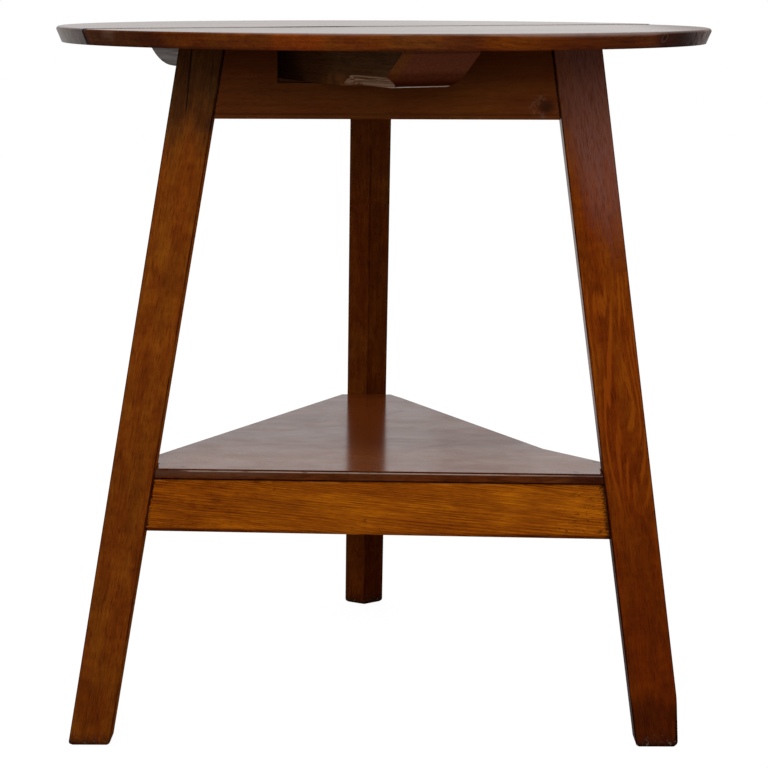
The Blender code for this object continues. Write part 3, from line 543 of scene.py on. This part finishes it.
# rails
railLook = {
    "wax": {"Specular IOR Level": 0.0, "Coat Roughness": 0.32}, "edgeTint": (0.4, 0.35, 0.35),
    "apron": {
        "tones": ((0.150, 0.042, 0.006), (0.098, 0.0245, 0.0040), (0.048, 0.0105, 0.0023)), "ringGap": 0.005,
        "worn": (0.150, 0.046, 0.012), "raw": (0.075, 0.036, 0.014), "shadeUnderTop": (0.74, 0.66, 0.65),
        "joint": (0.0022, 0.0008), "dirt": (0.005, 0.003, 0.002), "dirtShare": 0.85,
        "bead": (0.6178, 0.6194), "beadTone": (0.008, 0.004, 0.002), "notchShade": (0.2, 0.15, 0.15),
        # the front one's right part: from and to across, the same for height, tint
        "rightTints": (
            ((0.05, 0.13), None, (1.06, 1.02, 0.95)),
            ((0.01, 0.08), (0.658, 0.636), (1.24, 1.38, 1.35)),
            ((0.105, 0.130), (0.645, 0.632), (0.90, 0.84, 1.1)))},
    "stretcher": {
        "tones": ((0.430, 0.125, 0.002), (0.235, 0.056, 0.0014), (0.105, 0.020, 0.0010)), "ringGap": 0.0020,
        "worn": (0.35, 0.13, 0.02), "raw": (0.20, 0.085, 0.025), "handled": (0.30, 0.20, 0.12),
        "joint": (0.0066, 0.0012), "dirt": (0.012, 0.0030, 0.001), "dirtShare": 0.90,
        "cleanEnds": ("leg_front_left",), "leftTint": (0.84, 0.79, 0.8), "blotchTint": (0.55, 0.42, 0.5),
        "marks": (0.045, 0.013, 0.003)},
}
legs = {name: Timber(name) for name in ("leg_front_left", "leg_front_right", "leg_rear")}
# the legs that each side's rails meet
sides = {
    "front": ("leg_front_left", "leg_front_right"),
    "left": ("leg_front_left", "leg_rear"),
    "right": ("leg_front_right", "leg_rear"),
}


def railWood(name, look, pith, ends, **more):
    timber = Timber(name)
    wood = Wood(name + "_wood", timber, {
        "pith": pith, "ringGap": look["ringGap"], "tones": look["tones"], **more})
    finish = wood.finish
    # darker, ragged bands where its ends meet the legs
    far, near = look["joint"]
    ragged = (finish.noise(finish.place, (0.0022, 0.0022, 0.0022), 3.0, 0.7) - 0.5) * far * 1.9
    dirt = None
    for leg in ends:
        away = finish.fromPlane(legs[leg].faceTowards(timber.middle)) + ragged
        if leg in look.get("cleanEnds", ()):
            away = away * 3.0
        line = away.rise(far, near)
        dirt = line if dirt is None else dirt.most(line)
    edge = wood.edges(timber)
    rub = finish.noise(finish.place, (0.03, 0.03, 0.01), 3.0, 0.6).rise(0.45, 0.62)
    wood.paint(edge * rub * 0.35, look["worn"])
    wood.tint(edge * (1.0 - rub) * 0.4, railLook["edgeTint"])
    # its inner face never had polish
    inwards = timber.turn.col[2] * (1.0 if timber.find((0, 0, 0.4))[2] > 0 else -1.0)
    bare = finish.towards(inwards).rise(0.7, 0.95)
    wood.paint(bare * 0.6, look["raw"])
    wood.paint(dirt * look["dirtShare"], look["dirt"])
    wood.sheen = (1.0 - edge) * (1.0 - bare) * finish.facingUp.rise(0.6, 0.3) * 0.05
    wood.rough = wood.rough + dirt * 0.3 + bare * 0.15
    wood.height = wood.height - dirt * 0.6
    wood.underside = timber.faceTowards(timber.middle - np.array((0.0, 0.0, 1.0)))
    return wood


def apronWood(name, pith, ends, **more):
    look = railLook["apron"]
    wood = railWood(name, look, pith, ends, **{
        "rough": 0.44, "lineShare": 0.10, "fleckShare": 0.10, "fibreShare": 0.35, "cloudShare": 0.40,
        "streakShare": 0.40, "wave": 0.8, **more})
    x, z = wood.finish.x, wood.finish.z
    # painted shade: darker towards the top, under the tabletop
    wood.tint(z.rise(0.640, 0.680), look["shadeUnderTop"])
    if name == "apron_front":
        for across, height, shade in look["rightTints"]:
            amount = x.rise(*across)
            wood.tint(amount * z.rise(*height) if height else amount, shade)
    # dirt in the scratched bead; painted shade on what faces up, such as the floor of the notch
    low, high = look["bead"]
    bead = z.rise(low - 0.0006, low + 0.0002) * z.rise(high + 0.0006, high - 0.0002)
    wood.paint(bead * 0.15, look["beadTone"])
    wood.tint(wood.finish.facingUp.rise(0.5, 0.9), look["notchShade"])
    wood.done(name, 0.0003, railLook["wax"], **{"Coat Weight": wood.sheen})


def stretcherWood(name, pith, ends, **more):
    look = railLook["stretcher"]
    wood = railWood(name, look, pith, ends, **{
        "rough": 0.46, "lineShare": 0.42, "fleckShare": 0.10, "fibreShare": 0.40, "cloudShare": 0.60,
        "streakShare": 0.34, "warmth": (0.95, 0.85, 0.8), "wave": 1.2, "wander": 0.035, "lean": 0.07,
        "hairShare": 1.2, "hairLean": 0.11, "hairSize": (0.034, 0.0008, 0.0008), **more})
    finish, x, z = wood.finish, wood.finish.x, wood.finish.z
    # its left end is darker and blotched
    if name == "stretcher_front":
        blotch = finish.noise(finish.place, (0.018, 0.018, 0.006), 3.0, 0.65, 0.4).rise(0.50, 0.66)
        wood.tint(x.rise(0.04, -0.19), look["leftTint"])
        wood.tint(blotch * x.rise(-0.12, -0.17) * 0.6, look["blotchTint"])
    # handled dark along the lower edge, most towards the ends
    handled = finish.fromPlane(wood.underside).rise(0.0046, 0.0024)
    wood.tint(handled * abs(x - 0.01).rise(0.04, 0.15, 0.45, 1.0), look["handled"])
    # nicks and small dark specks
    nick = finish.noise(finish.place, (0.007, 0.007, 0.0022), 2.0, 0.6, 0.5).rise(0.66, 0.72)
    speck = finish.noise(finish.place, (0.0022, 0.0022, 0.0022), 1.0).rise(0.74, 0.78)
    marks = nick.most(speck) * finish.noise(finish.place, (0.08, 0.08, 0.05), 2.0).rise(0.48, 0.62)
    # pitted low down near the right end
    pit = finish.noise(finish.place, (0.0045, 0.0045, 0.0016), 3.0, 0.6, 0.4).rise(0.58, 0.64)
    pitted = finish.noise(finish.place, (0.02, 0.02, 0.012), 2.0).rise(0.42, 0.55)
    marks = marks.most(pit * x.rise(0.165, 0.190) * z.rise(0.2560, 0.2500) * pitted)
    wood.paint(marks * 0.75, look["marks"])
    wood.height = wood.height - marks * 0.8
    wood.done(name, 0.00035, railLook["wax"], **{"Coat Weight": wood.sheen})


knotPlace = Timber("apron_front").find((0.1560, -0.1327, 0.6260))
apronWood("apron_front", (0.06, 0.03), sides["front"], knots=((knotPlace[0], knotPlace[1], 0.0062),))
apronWood("apron_left", (-0.05, 0.03), sides["left"])
apronWood("apron_right", (0.06, 0.02), sides["right"])
print("aprons: three")
stretcherWood("stretcher_front", (-0.07, 0.016), sides["front"])
stretcherWood("stretcher_left", (0.06, 0.02), sides["left"])
stretcherWood("stretcher_right", (0.07, 0.02), sides["right"])
print("stretchers: three")


# the shelf
shelfLook = {
    "tones": ((0.175, 0.040, 0.008), (0.115, 0.026, 0.005), (0.045, 0.009, 0.002)),
    "polish": {"Specular IOR Level": 0.0, "Coat Roughness": 0.15, "Coat IOR": 1.5},
    "topPlane": ((0.01006, 0.006677, 0.999927), 0.27273),
    "rubbedTint": (1.25, 1.25, 1.2), "rubbed": (0.27, 0.095, 0.036),
    # its edges
    "edgeTint": (0.66, 0.74, 0.95), "arris": (0.36, 0.26, 0.21), "shadow": (0.18, 0.14, 0.14),
    "chipTint": (0.52, 0.42, 0.50), "leftTint": (0.74, 0.84, 1.2), "rightTint": (0.55, 0.50, 0.62),
    "warm": (0.120, 0.066, 0.042),
}


def shelfWood(name, look):
    timber = Timber(name, (1, 0, 0), (0, 1, 0))
    wood = Wood(name + "_wood", timber, {
        "pith": (0.10, -0.10), "wave": 0.6, "wander": 0.05, "ringGap": 0.005, "tones": look["tones"],
        "rough": 0.36, "cloudSize": (0.10, 0.03, 0.03), "lineShare": 0.2})
    finish, x, y = wood.finish, wood.finish.x, wood.finish.y
    flat = finish.facingUp.rise(0.90, 0.985)
    chips = finish.noise(finish.place, (0.02, 0.02, 0.003), 3.0, 0.6)
    side = (1.0 - flat) * finish.facingUp.rise(0.8, 0.5)
    wood.tint(side, look["edgeTint"])
    # its front edge: a pale line, rubbed wear and a painted highlight, under a painted shadow line at the
    # top, with painted shadow along its foot
    depth = finish.fromPlane(look["topPlane"])
    line = depth.rise(0.0011, 0.0016) * depth.rise(0.0030, 0.0022) * chips.rise(0.25, 0.50)
    wood.tint(side * depth.rise(0.0014, 0.0008).most(depth.rise(0.0088, 0.0096)) * 0.95, look["shadow"])
    wood.tint(side * chips.rise(0.42, 0.62) * 0.65, look["chipTint"])
    ends = x.rise(0.110, 0.180, 0.70, 0.42) * x.rise(-0.200, -0.187)
    # painted highlight and rubbed wear: the pale line along the arris
    wood.paint(side * line * ends, look["arris"])
    wood.tint(side * x.rise(-0.188, -0.202), look["leftTint"])
    wood.tint(side * x.rise(0.175, 0.192), look["rightTint"])
    warm = x.rise(-0.08, -0.14) * depth.rise(0.0085, 0.0045) * chips.rise(0.30, 0.56)
    wood.paint(side * warm * 0.30, look["warm"])
    # its upper face is rubbed towards the front
    wood.tint(flat * y.rise(-0.02, -0.12), look["rubbedTint"])
    wood.paint(flat * y.rise(0.00, -0.12) * 0.35, look["rubbed"])
    smear = finish.noise(finish.place, (0.11, 0.028, 0.05), 3.0, 0.6, 0.8).rise(0.3, 0.7)
    ripple = finish.noise(finish.place, (0.030, 0.020, 0.02), 2.0, 0.5, 0.5)
    # the polish is more uneven towards the front
    chop = finish.noise(finish.place, (0.008, 0.008, 0.01), 3.0, 0.65, 0.8) * y.rise(0.02, -0.10, 0.3, 1.0)
    fine = finish.noise(finish.place, (0.060, 0.0030, 0.01), 3.0, 0.6)
    wood.height = wood.height * 0.45 + ripple * 0.55 + chop * 2.8 + fine * 0.25
    wood.rough = wood.rough + smear * 0.08
    patch = finish.noise(finish.place, (0.050, 0.050, 0.05), 3.0, 0.65, 1.2).rise(0.32, 0.68)
    coat = flat * (0.84 - smear * 0.10 - patch * 0.11 - fine * 0.05
                   - abs(x - 0.095).rise(0.060, 0.025) * 0.10 + x.rise(0.140, 0.170) * 0.09)
    wood.done(name, 0.0002, look["polish"], **{"Coat Weight": coat})


shelfWood("shelf", shelfLook)
print("shelf: one board")


# the batten
battenLook = {
    "tones": ((0.115, 0.050, 0.018), (0.070, 0.029, 0.0105), (0.034, 0.013, 0.0052)),
    "angle": math.radians(32.0), "bare": {"Specular IOR Level": 0.0, "Coat Roughness": 0.30},
    # the front end, whose edge colour is a painted highlight
    "sawn": (0.158, 0.041, 0.0190), "rubbed": (0.165, 0.052, 0.010), "edge": (0.60, 0.42, 0.33),
    "endLow": (0.60, 0.50, 0.40), "endLowest": (0.42, 0.32, 0.12), "endStreak": (0.6, 0.5, 0.5),
    "bevelWay": (-0.345, -0.216, -0.913), "planed": (0.390, 0.235, 0.155),
    # its long sides, and the back end's bloom
    "sideFront": (1.10, 1.15, 1.35), "sideBack": (0.80, 0.70, 0.62), "bloom": (0.10, 0.09, 0.085),
}


def battenWood(name, look):
    along = Vector((math.sin(look["angle"]), -math.cos(look["angle"]), 0))
    across = Vector((math.cos(look["angle"]), math.sin(look["angle"]), 0))
    timber = Timber(name, along, (0, 0, 1))
    wood = Wood(name + "_wood", timber, {
        "pith": (0.05, 0.03), "ringGap": 0.005, "tones": look["tones"], "rough": 0.60, "lineShare": 0.25,
        "fibreShare": 0.55, "poreShare": 0.5})
    finish, z = wood.finish, wood.finish.z
    streaks = finish.noise(wood.grain, (0.05, 0.0022, 0.0022), 3.0, 0.6)
    patch = finish.noise(finish.place, (0.010, 0.010, 0.010), 3.0, 0.6)
    run = finish.along(finish.place, along)
    fromSide = finish.along(finish.place, across) - float((timber.points @ np.array(across)).min())
    side = abs(finish.towards(across)).rise(0.80, 0.93)
    # the front end is sawn red-brown, darker underneath, with a clean place near its left corner
    slope = finish.towards(along).rise(0.08, 0.2)
    end = run.rise(0.172, 0.182) * (1.0 - side) * slope
    wood.paint(end * 0.9, look["sawn"])
    wood.paint(end * (fromSide + (patch - 0.5) * 0.006).rise(0.0135, 0.0105) * 0.65, look["rubbed"])
    wood.tint(end * z.rise(0.6655, 0.6590) * 0.9, look["endLow"])
    wood.tint(end * z.rise(0.6580, 0.6510) * 0.9, look["endLowest"])
    wood.tint(end * streaks.rise(0.40, 0.62) * 0.45, look["endStreak"])
    # painted highlight: its lowest edge is painted pale, and coated so that it reflects as well
    lip = run.rise(0.176, 0.184) * z.rise(0.6492, 0.6484) * fromSide.rise(0.020, 0.030)
    wood.paint(lip * 0.75, look["edge"])
    # the bevel is planed pale, less where it runs out
    bevel = finish.towards(look["bevelWay"]).rise(0.985, 0.998)
    wood.paint(bevel * streaks.rise(0.66, 0.36) * 0.85, look["planed"])
    stop = (1.0 - side) * (1.0 - bevel) * run.rise(0.165, 0.150) * run.rise(0.136, 0.141)
    wood.paint(stop * z.rise(0.648, 0.650) * streaks.rise(0.66, 0.40) * 0.8, look["planed"])
    rubbed = patch.rise(0.36, 0.60) * run.rise(0.090, 0.115) * run.rise(0.150, 0.138) * z.rise(0.664, 0.654)
    wood.paint(rubbed * (1.0 - bevel) * 0.6, look["rubbed"])
    # the back end has a grey bloom
    bloom = run.rise(-0.17, -0.20) * side
    wood.paint(bloom * streaks.rise(0.30, 0.60) * 0.35, look["bloom"])
    bloomed = bloom * (streaks.rise(0.62, 0.36) * 0.50 + 0.30)
    # its long sides are darker further back and lighter towards the front end
    wood.tint(side * run.rise(0.120, 0.095) * (1.0 - bloom), look["sideBack"])
    wood.tint(side * run.rise(0.110, 0.135), look["sideFront"])
    wood.done(name, 0.0004, look["bare"], **{"Coat Weight": bloomed.most(lip * 0.9)})


battenWood("batten", battenLook)
print("batten: one")


# screws and nails
steelLook = {
    "iron": (0.060, 0.050, 0.044), "rust": (0.075, 0.028, 0.010), "waxed": (0.045, 0.014, 0.006),
    "metallic": 0.3, "specular": 0.3, "coat": 0.72, "coatRough": 0.12, "pits": 0.0002,
}


def oldSteel(look, name, waxed):
    # waxed: how thick the shelf's polish lies over it, from 0 to 1
    material, finish = newFinish(name)
    rust = finish.noise(finish.place, (0.004, 0.004, 0.004), 4.0, 0.65).rise(0.42, 0.62)
    grit = finish.noise(finish.place, (0.0008, 0.0008, 0.0008), 2.0, 0.6)
    colour = finish.blend(rust, look["iron"], look["rust"])
    colour = finish.blend(waxed, colour, look["waxed"])
    rough = rust * 0.35 + grit * 0.1 + 0.42
    finish.surface(colour, rough, grit + rust * 0.6, look["pits"] * (1 - waxed * 0.75), {
        "Metallic": look["metallic"] * (1 - waxed), "Specular IOR Level": look["specular"] * (1 - waxed),
        "Coat Weight": look["coat"] * waxed, "Coat Roughness": look["coatRough"]})
    return material


bareSteel = oldSteel(steelLook, "old_steel_bare", 0.0)
waxedSteel = oldSteel(steelLook, "old_steel_waxed", 0.9)
for name in nodes:
    if "screw" in name or "nail" in name:
        dress(name, waxedSteel if "nail" in name else bareSteel)
print("screws and nails: old steel")


# floor, light, camera
roomLook = {
    "paper": (0.45, 0.45, 0.45), "paperDark": (0.42, 0.42, 0.42), "shownPaper": 0.86, "shownGlow": 1.12,
    "floorReach": 7.0, "floorHeight": -0.0002, "floorSides": 96,
    # the sky's strength in front and behind, and where it goes from one to the other
    "sky": 0.42, "skyBehind": 1.15, "skyFrom": (-0.05, 0.7), "dark": 0.04, "darkFrom": (0.25, -0.15),
    "keyStrength": 1.95, "keyAngle": 42, "keyHeight": 25, "keySide": -7,
    "lens": 96.29, "sensor": 36.0, "cameraAt": (0.00119, -2.11442, 0.73975), "tilt": 0.1916, "roll": 0.0032,
}


def seenDirectly(finish):
    # 1 for what the camera, gloss and glass see
    kinds = ("Camera", "Glossy", "Transmission")
    camera, gloss, glass = (finish.node("LightPath", None, None, "Is %s Ray" % kind) for kind in kinds)
    return camera.most(gloss).most(glass)


def makeFloor(look):
    mesh = bpy.data.meshes.new("floor_sheet")
    reach, sides = look["floorReach"], look["floorSides"]
    turns = np.linspace(0, 2 * math.pi, sides + 1)[:-1]
    rim = [(reach * math.cos(turn), reach * math.sin(turn), look["floorHeight"]) for turn in turns]
    mesh.from_pydata(rim, [], [list(range(sides))])
    floor = bpy.data.objects.new("floor_sheet", mesh)
    scene.collection.objects.link(floor)
    material, finish = newFinish("floor_paper")
    tooth = finish.noise(finish.place, (0.004, 0.004, 0.004), 2.0)
    shade = finish.blend(tooth * 0.04, look["paper"], look["paperDark"])
    paper = finish.node("BsdfDiffuse", None, {"Color": shade})
    glow = finish.node("Emission", None, {"Color": (1.0, 1.0, 1.0), "Strength": look["shownGlow"]})
    both = finish.node("MixShader", None, {0: seenDirectly(finish) * look["shownPaper"], 1: paper, 2: glow})
    finish.node("OutputMaterial", None, {"Surface": both})
    mesh.materials.append(material)


def makeWorld(look):
    world = bpy.data.worlds.new("studio")
    world.use_nodes = True
    scene.world = world
    finish = Finish(world.node_tree)
    # white all round, but gloss finds the front of the room dark, and more light comes from behind
    backwards = finish.split(finish.node("TexCoord", None, None, "Generated"))[1]
    dark = backwards.rise(*look["darkFrom"]) * finish.node("LightPath", None, None, "Is Glossy Ray")
    white = 1.0 - dark * (1.0 - look["dark"])
    seen = seenDirectly(finish)
    light = backwards.rise(*look["skyFrom"], look["sky"], look["skyBehind"])
    strength = seen * white + (1.0 - seen) * light
    sky = finish.node("Background", None, {"Color": (1.0, 1.0, 1.0), "Strength": strength})
    finish.node("OutputWorld", None, {"Surface": sky})


def makeLamp(look):
    lamp = bpy.data.lights.new("window", "SUN")
    lamp.energy = look["keyStrength"]
    lamp.angle = math.radians(look["keyAngle"])
    window = bpy.data.objects.new("window", lamp)
    window.visible_glossy = False       # it is large and soft, and no wax here mirrors it
    scene.collection.objects.link(window)
    height, side = math.radians(look["keyHeight"]), math.radians(look["keySide"])
    level = math.cos(height)
    fromThere = Vector((math.sin(side) * level, -math.cos(side) * level, math.sin(height)))
    window.location = fromThere * 3
    window.rotation_euler = (-fromThere).to_track_quat("-Z", "Y").to_euler()


def makeCamera(look):
    data = bpy.data.cameras.new("camera")
    data.lens = look["lens"]
    data.sensor_width = look["sensor"]
    camera = bpy.data.objects.new("camera", data)
    scene.collection.objects.link(camera)
    pitch = Matrix.Rotation(math.pi / 2 - look["tilt"], 4, "X")
    camera.matrix_world = Matrix.Translation(look["cameraAt"]) @ pitch @ Matrix.Rotation(look["roll"], 4, "Z")
    scene.camera = camera


makeFloor(roomLook)
makeWorld(roomLook)
makeLamp(roomLook)
makeCamera(roomLook)
scene.view_settings.view_transform = "Standard"
print("floor, light and camera")
